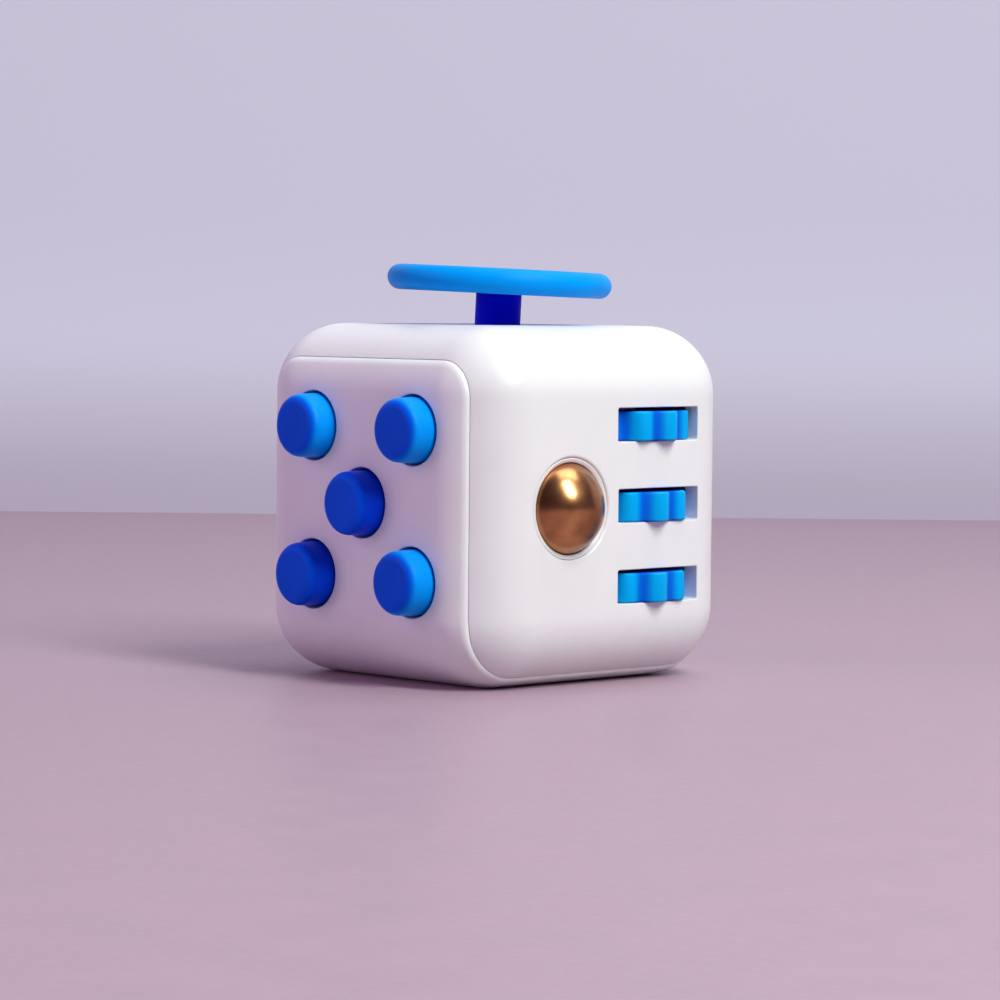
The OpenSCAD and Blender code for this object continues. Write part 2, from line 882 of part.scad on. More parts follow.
flip_pivot_pin();
flip_frame();
flip_frame_screws();
flip_detent_ball();
flip_detent_spring();
spin_dial();
spin_washer();
spin_retainer();
spin_screw();
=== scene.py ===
import json
import math

import bpy
import numpy as np
from mathutils import Matrix, Vector
from mathutils.geometry import delaunay_2d_cdt


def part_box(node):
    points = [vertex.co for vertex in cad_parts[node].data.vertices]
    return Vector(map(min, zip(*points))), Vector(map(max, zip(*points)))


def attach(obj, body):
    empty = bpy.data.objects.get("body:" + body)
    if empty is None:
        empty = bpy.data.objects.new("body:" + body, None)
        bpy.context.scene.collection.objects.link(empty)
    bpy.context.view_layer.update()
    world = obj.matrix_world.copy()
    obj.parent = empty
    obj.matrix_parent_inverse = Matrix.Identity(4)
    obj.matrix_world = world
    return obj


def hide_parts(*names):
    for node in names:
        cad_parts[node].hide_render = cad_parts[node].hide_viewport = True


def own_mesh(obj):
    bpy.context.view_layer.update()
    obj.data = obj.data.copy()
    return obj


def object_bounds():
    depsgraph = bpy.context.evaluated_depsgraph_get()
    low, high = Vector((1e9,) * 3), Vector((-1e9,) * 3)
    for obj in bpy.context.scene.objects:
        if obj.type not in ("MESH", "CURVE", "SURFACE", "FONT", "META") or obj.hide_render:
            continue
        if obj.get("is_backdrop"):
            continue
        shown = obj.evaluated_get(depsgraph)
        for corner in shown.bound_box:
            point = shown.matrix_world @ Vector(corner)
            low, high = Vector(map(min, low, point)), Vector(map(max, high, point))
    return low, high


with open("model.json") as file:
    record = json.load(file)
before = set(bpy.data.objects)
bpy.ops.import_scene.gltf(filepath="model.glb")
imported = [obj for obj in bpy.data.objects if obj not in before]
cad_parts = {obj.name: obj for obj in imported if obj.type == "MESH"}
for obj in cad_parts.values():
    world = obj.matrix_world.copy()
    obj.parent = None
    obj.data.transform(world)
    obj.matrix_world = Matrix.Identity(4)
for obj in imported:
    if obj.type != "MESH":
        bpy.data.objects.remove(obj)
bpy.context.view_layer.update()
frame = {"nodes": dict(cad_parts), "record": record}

MM = 0.001
RECORD = frame["record"]
JOINTS = {j["name"]: j for j in RECORD["behaviour"]["joints"]}


# ---------------------------------------------------------------- measuring the frame
def box_mm(node):
    lo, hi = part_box(node)
    return np.array(lo) / MM, np.array(hi) / MM


def centre_mm(node):
    lo, hi = box_mm(node)
    return (lo + hi) / 2


BASE_LO, BASE_HI = box_mm("base_shell")
SIDE_LO, SIDE_HI = box_mm("side_shell")
CORE = 10.0  # half the width of the box the rounded skins grow from
R_SIDE = SIDE_HI[0] - CORE
R_BASE = BASE_HI[1] - CORE
R_CAVITY = 4.8
CORE_LOW = BASE_LO[2] + R_BASE
CORE_HIGH = SIDE_HI[2] - R_SIDE
MID = (CORE_LOW + CORE_HIGH) / 2
CORE_HALF = (CORE_HIGH - CORE_LOW) / 2
FACE_MID = centre_mm("roll_ball")[2]


# ---------------------------------------------------------------- meshes
def make_object(name, verts, faces, body, normals=None, smooth_angle=None, scale=MM):
    """A mesh piece in millimetres, turned to metres, that rides on a body."""
    mesh = bpy.data.meshes.new(name)
    mesh.from_pydata([tuple(float(c) * scale for c in v) for v in verts], [], faces)
    mesh.validate()
    mesh.update()
    mesh.shade_smooth()
    if smooth_angle is not None:
        mesh.set_sharp_from_angle(angle=math.radians(smooth_angle))
    if normals is not None:
        mesh.normals_split_custom_set_from_vertices([tuple(map(float, n)) for n in normals])
    obj = bpy.data.objects.new(name, mesh)
    bpy.context.scene.collection.objects.link(obj)
    if body:
        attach(obj, body)
    return obj


def frame_for(axis, hint=(0.0, 0.0, 1.0)):
    """Two unit vectors across an axis."""
    axis = Vector(axis).normalized()
    hint = Vector(hint)
    if abs(axis.dot(hint)) > 0.95:
        hint = Vector((0.0, 1.0, 0.0))
    side = axis.cross(hint).normalized()
    return axis, side, axis.cross(side).normalized()


def turned(profile, origin, axis, segments=96):
    """Vertices and faces of a closed turned body. The profile holds (radius, height) pairs,
    runs counter-clockwise seen with the radius to the right, and starts and ends on the axis
    or closes on itself."""
    axis, side, up = frame_for(axis)
    origin = Vector(origin)
    on_axis = profile[0][0] < 1e-6 and profile[-1][0] < 1e-6
    verts, faces = [], []
    rings = []
    for r, h in profile:
        if r < 1e-6:
            verts.append(origin + axis * h)
            rings.append([len(verts) - 1])
            continue
        ring = []
        for k in range(segments):
            a = 2 * math.pi * k / segments
            verts.append(origin + axis * h + (side * math.cos(a) + up * math.sin(a)) * r)
            ring.append(len(verts) - 1)
        rings.append(ring)
    pairs = list(zip(rings, rings[1:]))
    if not on_axis:
        pairs.append((rings[-1], rings[0]))
    for a, b in pairs:
        for k in range(segments):
            n = (k + 1) % segments
            if len(a) == 1 and len(b) == 1:
                continue
            if len(a) == 1:
                faces.append((a[0], b[n], b[k]))
            elif len(b) == 1:
                faces.append((a[k], a[n], b[0]))
            else:
                faces.append((a[k], a[n], b[n], b[k]))
    return verts, faces


def arc(centre, radius, start, end, steps):
    """Points of an arc, angles in degrees."""
    return [
        (
            centre[0] + radius * math.cos(math.radians(start + (end - start) * i / steps)),
            centre[1] + radius * math.sin(math.radians(start + (end - start) * i / steps)),
        )
        for i in range(steps + 1)
    ]


def rounded_profile(points, radii, steps=5):
    """The profile with each inner corner replaced by an arc of its own radius."""
    out = [points[0]]
    for i in range(1, len(points) - 1):
        p = Vector(points[i])
        a = Vector(points[i - 1]) - p
        b = Vector(points[i + 1]) - p
        r = radii[i] if isinstance(radii, (list, tuple)) else radii
        if r <= 0 or a.length < 1e-9 or b.length < 1e-9:
            out.append(tuple(p))
            continue
        reach = min(r / math.tan(a.angle(b) / 2), a.length * 0.49, b.length * 0.49)
        p0 = p + a.normalized() * reach
        p2 = p + b.normalized() * reach
        for k in range(steps + 1):
            t = k / steps
            q = p0 * (1 - t) ** 2 + p * 2 * t * (1 - t) + p2 * t**2
            out.append((q.x, q.y))
    out.append(points[-1])
    return out


def lathe(name, profile, origin, axis, body, segments=96, smooth_angle=40):
    verts, faces = turned(profile, origin, axis, segments)
    return make_object(name, verts, faces, body, smooth_angle=smooth_angle)


# ---------------------------------------------------------------- the shell skins
class Skin:
    """A rounded-cube skin as a strip: u runs across the strip, v along a path over three faces.
    The path starts with a partial corner arc, and both coordinates are lengths in mm."""

    def __init__(self, to_world, radius, height=None):
        self.to_world = to_world
        self.radius = radius
        self.height = height
        self.flat_a = 2 * CORE_HALF
        self.flat_b = 2 * CORE
        self.quarter = radius * math.pi / 2
        self.end = 2 * self.flat_a + self.flat_b + 2 * self.quarter

    def core(self, u, v):
        """Core point (u, p, q) and unit normal (u, p, q) at a place on the strip."""
        r, a, b, k = self.radius, self.flat_a, self.flat_b, self.quarter
        if v < 0:
            p, q, phi = CORE, -CORE_HALF, v / r
        elif v < a:
            p, q, phi = CORE, -CORE_HALF + v, 0.0
        elif v < a + k:
            p, q, phi = CORE, CORE_HALF, (v - a) / r
        elif v < a + k + b:
            p, q, phi = CORE - (v - a - k), CORE_HALF, math.pi / 2
        elif v < a + b + 2 * k:
            p, q, phi = -CORE, CORE_HALF, math.pi / 2 + (v - a - k - b) / r
        elif v < self.end:
            p, q, phi = -CORE, CORE_HALF - (v - a - b - 2 * k), math.pi
        else:
            p, q, phi = -CORE, -CORE_HALF, math.pi + (v - self.end) / r
        psi = max(0.0, abs(u) - CORE) / r * (1 if u > 0 else -1)
        cu = max(-CORE, min(CORE, u))
        c = math.cos(psi)
        return (cu, p, q), (math.sin(psi), c * math.cos(phi), c * math.sin(phi)), phi

    def point(self, u, v, sink=0.0):
        k, n, _ = self.core(u, v)
        r = self.radius - sink - (self.height(u, v, self) if self.height else 0.0)
        return np.array(self.to_world(*(k[i] + r * n[i] for i in range(3))))

    def normal(self, u, v):
        if self.height is None:
            _, n, _ = self.core(u, v)
            return self.direction(n)
        e = 0.01
        du = self.point(u + e, v) - self.point(u - e, v)
        dv = self.point(u, v + e) - self.point(u, v - e)
        n = np.cross(du, dv)
        n /= max(np.linalg.norm(n), 1e-12)
        _, m, _ = self.core(u, v)
        return n if np.dot(n, self.direction(m)) > 0 else -n

    def direction(self, n):
        return np.array(self.to_world(*n)) - np.array(self.to_world(0.0, 0.0, 0.0))


def outline_rounded(skin, w, flat_n, arc_n, tip_n):
    """Outline whose ends are cut by a band with round corners of radius w about the core edges."""
    r = skin.radius
    u_max = CORE + r * math.asin(w / r)
    return assemble_outline(skin, u_max, flat_n, arc_n, [
        (CORE + r * math.asin(w * math.cos(t) / r),
         r * math.asin(w * math.sin(t) / (r * math.cos(math.asin(w * math.cos(t) / r)))))
        for t in [math.pi / 2 * i / tip_n for i in range(1, tip_n + 1)]
    ])


def outline_plane(skin, w, flat_n, arc_n, tip_n):
    """Outline whose ends are cut by planes at a distance w outside the core box."""
    r = skin.radius
    psi_max = math.acos(w / r)
    return assemble_outline(skin, CORE + r * psi_max, flat_n, arc_n, [
        (CORE + r * psi_max * (1 - i / tip_n),
         r * math.acos(min(1.0, w / (r * math.cos(psi_max * (1 - i / tip_n))))))
        for i in range(1, tip_n + 1)
    ])


def assemble_outline(skin, u_max, flat_n, arc_n, tip):
    """A closed loop of (u, v) points, counter-clockwise. tip holds (u, reach beyond the end)."""
    a, b, k = skin.flat_a, skin.flat_b, skin.quarter
    stops = [(0.0, a, flat_n), (a, a + k, arc_n), (a + k, a + k + b, flat_n),
             (a + k + b, a + b + 2 * k, arc_n), (a + b + 2 * k, skin.end, flat_n)]
    side = [(u_max, lo + (hi - lo) * i / n) for lo, hi, n in stops for i in range(n)]
    side.append((u_max, skin.end))
    across = [CORE * (1 - 2 * i / flat_n) for i in range(1, flat_n)]
    top = tip[-1][1]
    far_cap = [(u, skin.end + d) for u, d in tip]
    far_cap += [(u, skin.end + top) for u in across]
    far_cap += [(-u, skin.end + d) for u, d in reversed(tip)]
    back = [(-u, v) for u, v in reversed(side)]
    near_cap = [(-u, -d) for u, d in tip]
    near_cap += [(-u, -top) for u in across]
    near_cap += [(u, -d) for u, d in reversed(tip)]
    return side + far_cap + back + near_cap


def offset_loop(loop, d):
    """A closed loop moved to its left by d."""
    pts = np.array(loop)
    nxt = np.roll(pts, -1, axis=0) - pts
    prv = pts - np.roll(pts, 1, axis=0)
    nxt /= np.maximum(np.linalg.norm(nxt, axis=1, keepdims=True), 1e-9)
    prv /= np.maximum(np.linalg.norm(prv, axis=1, keepdims=True), 1e-9)
    t = nxt + prv
    t /= np.maximum(np.linalg.norm(t, axis=1, keepdims=True), 1e-9)
    left = np.stack([-t[:, 1], t[:, 0]], axis=1)
    return [tuple(p) for p in pts + left * d]


def circle_loop(cu, cv, r, n):
    """Clockwise, so that the material is on the left."""
    turns = [-2 * math.pi * i / n for i in range(n)]
    return [(cu + r * math.cos(t), cv + r * math.sin(t)) for t in turns]


def slot_loop(cu, cv, hu, hv, r, n=4):
    """Rounded rectangle, clockwise, with evenly cut sides."""
    pts = []
    corners = [(hu - r, -hv + r, 0), (-hu + r, -hv + r, -90), (-hu + r, hv - r, -180), (hu - r, hv - r, -270)]
    for x, y, a0 in corners:
        for i in range(n + 1):
            a = math.radians(a0 - 90 * i / n)
            pts.append((cu + x + r * math.cos(a), cv + y + r * math.sin(a)))
    out = []
    for i, p in enumerate(pts):
        q = pts[(i + 1) % len(pts)]
        gap = math.hypot(q[0] - p[0], q[1] - p[1])
        parts = max(1, int(gap / 0.7))
        out += [(p[0] + (q[0] - p[0]) * k / parts, p[1] + (q[1] - p[1]) * k / parts) for k in range(parts)]
    return out


def inside(loop, pts):
    """Which points lie inside a closed loop."""
    loop = np.array(loop)
    x, y = pts[:, 0][:, None], pts[:, 1][:, None]
    x0, y0 = loop[:, 0][None], loop[:, 1][None]
    x1, y1 = np.roll(loop[:, 0], -1)[None], np.roll(loop[:, 1], -1)[None]
    crosses = (y0 > y) != (y1 > y)
    at = x0 + (y - y0) * (x1 - x0) / np.where(y1 == y0, 1e-12, y1 - y0)
    return ((crosses & (x < at)).sum(axis=1) % 2) == 1


def near_any(loops, pts, reach):
    out = np.zeros(len(pts), bool)
    for loop in loops:
        d = np.linalg.norm(pts[:, None, :] - np.array(loop)[None], axis=2).min(axis=1)
        out |= d < reach
    return out


def fill(outline, holes, rings, step):
    """Triangles over an outline with holes; rings are loops the triangles must follow."""
    loops = [outline] + holes + rings
    outer = np.array(outline)
    lo, hi = outer.min(axis=0), outer.max(axis=0)
    gu = np.arange(lo[0] + step / 2, hi[0], step)
    gv = np.arange(lo[1] + step / 2, hi[1], step)
    grid = np.array([(u, v) for v in gv for u in gu])
    keep = inside(outline, grid) & ~near_any(loops, grid, step * 0.55)
    for hole in holes:
        keep &= ~inside(hole, grid)
    grid = grid[keep]
    verts, edges = [], []
    for loop in loops:
        start = len(verts)
        verts += list(loop)
        edges += [(start + i, start + (i + 1) % len(loop)) for i in range(len(loop))]
    verts += [tuple(p) for p in grid]
    out_v, _, out_f, orig_v, _, _ = delaunay_2d_cdt([Vector(v) for v in verts], edges, [], 0, 1e-7)
    pts = np.array([tuple(v) for v in out_v])
    tri = np.array([f for f in out_f if len(f) == 3])
    mid = pts[tri].mean(axis=1)
    ok = inside(outline, mid)
    for hole in holes:
        ok &= ~inside(hole, mid)
    tri = tri[ok]
    where = {}
    for new, olds in enumerate(orig_v):
        for old in olds:
            where[old] = new
    loop_ids, start = [], 0
    for loop in loops:
        loop_ids.append([where[start + i] for i in range(len(loop))])
        start += len(loop)
    return pts, [tuple(int(i) for i in t) for t in tri], loop_ids


class Builder:
    """Collects vertices with their normals, and faces."""

    def __init__(self):
        self.v, self.n, self.f = [], [], []

    def add(self, point, normal):
        self.v.append(point)
        self.n.append(normal / max(np.linalg.norm(normal), 1e-12))
        return len(self.v) - 1

    def strip(self, a, b):
        """Faces between two closed rings of the same length; a is on the outside."""
        for i in range(len(a)):
            j = (i + 1) % len(a)
            self.f.append((a[i], b[i], b[j], a[j]))

    def append(self, verts, faces):
        """A closed body of its own, with normals from its faces."""
        verts = [np.array(v, float) for v in verts]
        start = len(self.v)
        total = [np.zeros(3) for _ in verts]
        for f in faces:
            p = [verts[i] for i in f]
            n = np.cross(p[1] - p[0], p[2] - p[0])
            for i in f:
                total[i] += n
        for v, n in zip(verts, total):
            self.add(v, n)
        self.f += [tuple(start + i for i in f) for f in faces]


def skin_shell(out_skin, in_skin, out_loops, in_loops, fillets, walls, rings, step, in_step):
    """A closed shell between two skins. The first loop is the outline and the rest are holes,
    given on both skins with matching points. walls gives each loop's inward wall direction."""
    b = Builder()
    drops = [f[1] if isinstance(f, tuple) else f for f in fillets]
    fillets = [f[0] if isinstance(f, tuple) else f for f in fillets]
    trimmed = [offset_loop(loop, f) for loop, f in zip(out_loops, fillets)]
    pts, tri, ids = fill(trimmed[0], trimmed[1:], rings, step)
    outer = [b.add(out_skin.point(*p), out_skin.normal(*p)) for p in pts]
    flip = np.dot(np.cross(b.v[outer[tri[0][1]]] - b.v[outer[tri[0][0]]], b.v[outer[tri[0][2]]] - b.v[outer[tri[0][0]]]),
                  b.n[outer[tri[0][0]]]) < 0
    b.f += [tuple(outer[i] for i in (reversed(t) if flip else t)) for t in tri]
    pts2, tri2, ids2 = fill(in_loops[0], in_loops[1:], [], in_step)
    inner = [b.add(in_skin.point(*p), -in_skin.normal(*p)) for p in pts2]
    b.f += [tuple(inner[i] for i in (t if flip else reversed(t))) for t in tri2]
    for k, (loop, _, f, wall) in enumerate(zip(out_loops, trimmed, drops, walls)):
        sharp = [out_skin.point(*p) for p in loop]
        start = [b.v[outer[i]] for i in ids[k]]
        start_n = [b.n[outer[i]] for i in ids[k]]
        down = [wall(*p) for p in loop]
        low = [s + d * f for s, d in zip(sharp, down)]
        n = len(loop)
        along = [low[(i + 1) % n] - low[i - 1] for i in range(n)]
        sign = 1 if flip else -1
        wall_n = [sign * np.cross(along[i], down[i]) for i in range(n)]
        wall_n = [w / max(np.linalg.norm(w), 1e-12) for w in wall_n]
        if sum(np.dot(wall_n[i], sharp[i] - start[i]) for i in range(n)) < 0:
            wall_n = [-w for w in wall_n]
        rows = [[outer[i] for i in ids[k]]]
        steps = 5
        for s in range(1, steps + 1):
            t = s / steps
            rows.append([
                b.add(start[i] * (1 - t) ** 2 + sharp[i] * 2 * t * (1 - t) + low[i] * t * t,
                      start_n[i] * (1 - t) + wall_n[i] * t)
                for i in range(n)
            ])
        ends = [b.v[inner[i]] for i in ids2[k]]
        rows.append([b.add(low[i] + (ends[i] - low[i]) * 0.96, wall_n[i]) for i in range(n)])
        rows.append([inner[i] for i in ids2[k]])
        for p, q in zip(rows, rows[1:]):
            if flip:
                b.strip(q, p)
            else:
                b.strip(p, q)
    return b


# ---------------------------------------------------------------- materials
def material(name, colour, rough=0.4, metal=0.0, mottle_and_painted_reflection=0.03, bump=0.02, bump_scale=900.0,
             coat=0.0, coat_rough=0.1, wear=0.06, subsurface=0.0, spec=0.5, streaks=None, painted_light_blend=None):
    """A procedural finish: slow colour drift (on the ball, strong enough to be painted reflection), an optional
    painted-light blend, fine grain in roughness and a shallow bump.
    """
    mat = bpy.data.materials.new(name)
    mat.use_nodes = True
    nt = mat.node_tree
    nt.nodes.clear()
    out = nt.nodes.new("ShaderNodeOutputMaterial")
    bsdf = nt.nodes.new("ShaderNodeBsdfPrincipled")
    nt.links.new(bsdf.outputs["BSDF"], out.inputs["Surface"])
    coords = nt.nodes.new("ShaderNodeTexCoord")
    bsdf.inputs["Metallic"].default_value = metal
    bsdf.inputs["Specular IOR Level"].default_value = spec
    bsdf.inputs["Coat Weight"].default_value = coat
    bsdf.inputs["Coat Roughness"].default_value = coat_rough
    if subsurface:
        bsdf.inputs["Subsurface Weight"].default_value = subsurface
        bsdf.inputs["Subsurface Radius"].default_value = (0.6, 0.6, 0.7)
        bsdf.inputs["Subsurface Scale"].default_value = 0.0015

    def noise(scale, detail=3.0, stretch=None):
        tex = nt.nodes.new("ShaderNodeTexNoise")
        tex.inputs["Scale"].default_value = scale
        tex.inputs["Detail"].default_value = detail
        if stretch:
            mapping = nt.nodes.new("ShaderNodeMapping")
            mapping.inputs["Scale"].default_value = stretch
            nt.links.new(coords.outputs["Object"], mapping.inputs["Vector"])
            nt.links.new(mapping.outputs["Vector"], tex.inputs["Vector"])
        else:
            nt.links.new(coords.outputs["Object"], tex.inputs["Vector"])
        return tex

    slow = noise(180.0, 4.0)
    grain = noise(bump_scale, 2.0, streaks)
    ramp = nt.nodes.new("ShaderNodeValToRGB")
    low = [max(0.0, c * (1 - mottle_and_painted_reflection * 1.6)) for c in colour]
    high = [min(1.0, c * (1 + mottle_and_painted_reflection)) for c in colour]
    ramp.color_ramp.elements[0].position = 0.32
    ramp.color_ramp.elements[1].position = 0.68
    ramp.color_ramp.elements[0].color = (*low, 1)
    ramp.color_ramp.elements[1].color = (*high, 1)
    nt.links.new(slow.outputs["Fac"], ramp.inputs["Fac"])
    base = ramp.outputs["Color"]
    if painted_light_blend:
        base = blended(nt, coords, base, *painted_light_blend)
    nt.links.new(base, bsdf.inputs["Base Color"])
    span = nt.nodes.new("ShaderNodeMapRange")
    span.inputs["From Min"].default_value = 0.3
    span.inputs["From Max"].default_value = 0.7
    span.inputs["To Min"].default_value = max(0.02, rough - wear)
    span.inputs["To Max"].default_value = min(1.0, rough + wear)
    mix = nt.nodes.new("ShaderNodeMath")
    mix.operation = "MULTIPLY_ADD"
    mix.inputs[1].default_value = 0.5
    half = nt.nodes.new("ShaderNodeMath")
    half.operation = "MULTIPLY"
    half.inputs[1].default_value = 0.5
    nt.links.new(slow.outputs["Fac"], half.inputs[0])
    nt.links.new(grain.outputs["Fac"], mix.inputs[0])
    nt.links.new(half.outputs["Value"], mix.inputs[2])
    nt.links.new(mix.outputs["Value"], span.inputs["Value"])
    nt.links.new(span.outputs["Result"], bsdf.inputs["Roughness"])
    bumper = nt.nodes.new("ShaderNodeBump")
    bumper.inputs["Strength"].default_value = bump
    bumper.inputs["Distance"].default_value = 0.0002
    nt.links.new(grain.outputs["Fac"], bumper.inputs["Height"])
    nt.links.new(bumper.outputs["Normal"], bsdf.inputs["Normal"])
    return mat


def blended(nt, coords, base, kind, colour, start, end):
    """Painted light: the base colour run into another one, on the flanks of a cap that faces -Y (lighter for lit
    flanks, darker for flanks in shadow), or with the distance from the thumb wheels' axle (painted shade in the tooth
    valleys, lighter crests)."""
    fade = nt.nodes.new("ShaderNodeMapRange")
    fade.interpolation_type = "SMOOTHSTEP"
    fade.inputs["From Min"].default_value = start
    fade.inputs["From Max"].default_value = end
    split = nt.nodes.new("ShaderNodeSeparateXYZ")
    if kind == "flank":
        geometry = nt.nodes.new("ShaderNodeNewGeometry")
        nt.links.new(geometry.outputs["Normal"], split.inputs["Vector"])
        nt.links.new(split.outputs["Y"], fade.inputs["Value"])
    else:
        axle = centre_mm("wheel_axle") * MM
        shift = nt.nodes.new("ShaderNodeVectorMath")
        shift.operation = "SUBTRACT"
        shift.inputs[1].default_value = (axle[0], axle[1], 0.0)
        flat = nt.nodes.new("ShaderNodeVectorMath")
        flat.operation = "MULTIPLY"
        flat.inputs[1].default_value = (1.0, 1.0, 0.0)
        length = nt.nodes.new("ShaderNodeVectorMath")
        length.operation = "LENGTH"
        nt.links.new(coords.outputs["Object"], shift.inputs[0])
        nt.links.new(shift.outputs["Vector"], flat.inputs[0])
        nt.links.new(flat.outputs["Vector"], length.inputs[0])
        nt.links.new(length.outputs["Value"], fade.inputs["Value"])
    mix = nt.nodes.new("ShaderNodeMix")
    mix.data_type = "RGBA"
    nt.links.new(fade.outputs["Result"], mix.inputs["Factor"])
    nt.links.new(base, [i for i in mix.inputs if i.name == "A" and i.type == "RGBA"][0])
    [i for i in mix.inputs if i.name == "B" and i.type == "RGBA"][0].default_value = (*colour, 1)
    return [o for o in mix.outputs if o.type == "RGBA"][0]


MATERIALS = {
    "shell_white": material("shell_white", (0.84, 0.835, 0.86), rough=0.36, mottle_and_painted_reflection=0.012, bump=0.05,
                            coat=0.0),
    # Painted light: the cap flanks run into a light cyan as if lit from the side, while the -Y-facing fronts keep the
    # darker blue.
    "button_blue": material("button_blue", (0.0, 0.085, 0.80), rough=0.45, mottle_and_painted_reflection=0.05, bump=0.05, spec=0.06,
                            painted_light_blend=("flank", (0.0, 0.29, 0.92), -0.95, -0.35)),
    # Painted shadow: the same blue with darker flanks, for the buttons that lie in the shadow of their neighbours.
    "button_painted_shadow": material("button_painted_shadow", (0.0, 0.085, 0.80), rough=0.45, mottle_and_painted_reflection=0.05, bump=0.05, spec=0.06,
                            painted_light_blend=("flank", (0.0, 0.05, 0.75), -0.95, -0.35)),
    "joystick_blue": material("joystick_blue", (0.0, 0.31, 0.92), rough=0.42, mottle_and_painted_reflection=0.05, bump=0.05,
                              spec=0.06),
    # Painted shade: dark blue in the tooth valleys, running into a lighter cyan towards the crests, by distance from
    # the axle.
    "wheel_blue": material("wheel_blue", (0.0, 0.09, 0.70), rough=0.42, mottle_and_painted_reflection=0.05, bump=0.05, spec=0.06,
                           painted_light_blend=("radius", (0.0, 0.40, 0.90), 0.0057, 0.0063)),
    # Painted reflection: the bronze base colour and the strong colour drift stand in for the warm, dark-brown
    # surroundings mirrored in a plain steel ball.
    "ball_steel": material("ball_steel", (0.50, 0.23, 0.10), rough=0.25, metal=1.0, mottle_and_painted_reflection=0.45, bump=0.01,
                           wear=0.03, bump_scale=1500.0),
    "steel": material("steel", (0.58, 0.58, 0.60), rough=0.3, metal=1.0, mottle_and_painted_reflection=0.05, bump=0.06,
                      bump_scale=2500.0),
    "spring_steel": material("spring_steel", (0.38, 0.38, 0.41), rough=0.35, metal=1.0, mottle_and_painted_reflection=0.08,
                             bump=0.05),
    "inner_plastic": material("inner_plastic", (0.62, 0.63, 0.65), rough=0.5, mottle_and_painted_reflection=0.03, bump=0.08),
    "silicone": material("silicone", (0.62, 0.63, 0.66), rough=0.6, mottle_and_painted_reflection=0.04, bump=0.06, subsurface=0.3),
    "washer_ivory": material("washer_ivory", (0.78, 0.72, 0.58), rough=0.5, mottle_and_painted_reflection=0.05, bump=0.08),
}
SLOT_OF = {s["node"]: s["material_slot"] for s in RECORD["subparts"]}


def finish_piece(obj, slot_name, *nodes):
    obj.data.materials.clear()
    obj.data.materials.append(MATERIALS[slot_name])
    if nodes:
        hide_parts(*nodes)
    return obj


BODY_OF = {n: body for body, nodes in RECORD["behaviour"]["bodies"].items() for n in nodes}


# ---------------------------------------------------------------- base shell
def base_world(u, p, q):
    return (u, -p, MID - q)


def side_world(u, p, q):
    return (p, u, MID + q)


SEAM_BASE = 3.35
SEAM_SIDE = 3.38
SLOT_RISE = 0.15
BUTTON_R, BUTTON_HOLE = 3.0, 3.25
DIMPLE_R, DIMPLE_REACH, DIMPLE_DEPTH = 14.0, 3.5, 1.5
DISH_FLOOR, DISH_EDGE, DISH_DEPTH = 3.9, 8.0, 0.6


def dimple_height(u, v, skin):
    """Depth of the thumb hollow below the bottom face."""
    y = v - (skin.flat_a + skin.quarter + CORE)
    along = max(0.0, abs(u) - DIMPLE_REACH)
    rho2 = along * along + y * y
    edge2 = DIMPLE_R**2 - (DIMPLE_R - DIMPLE_DEPTH) ** 2
    if rho2 >= edge2:
        return 0.0
    return math.sqrt(DIMPLE_R**2 - rho2) - (DIMPLE_R - DIMPLE_DEPTH)


def dish_height(u, v, skin):
    """Depth of the shallow dish round the joystick's stem."""
    x = v - (skin.flat_a + skin.quarter + CORE)
    rho = math.hypot(u, x)
    return DISH_DEPTH * max(0.0, min(1.0, (DISH_EDGE - rho) / (DISH_EDGE - DISH_FLOOR)))


def along_path(skin, face, offset):
    """Path coordinate of a place on face 0, 1 or 2, measured from that face's middle."""
    a, b, k = skin.flat_a, skin.flat_b, skin.quarter
    return (a / 2, a + k + b / 2, a * 1.5 + 2 * k + b)[face] + offset


def ring_of(kind, cu, cv, size, count):
    """A loop that triangles follow: circle or stadium, counter-clockwise."""
    pts = []
    for i in range(count):
        t = 2 * math.pi * i / count
        x = size * math.cos(t)
        if kind == "stadium":
            x += DIMPLE_REACH * (1 if math.cos(t) > 0 else -1)
        pts.append((cu + x, cv + size * math.sin(t)))
    return pts


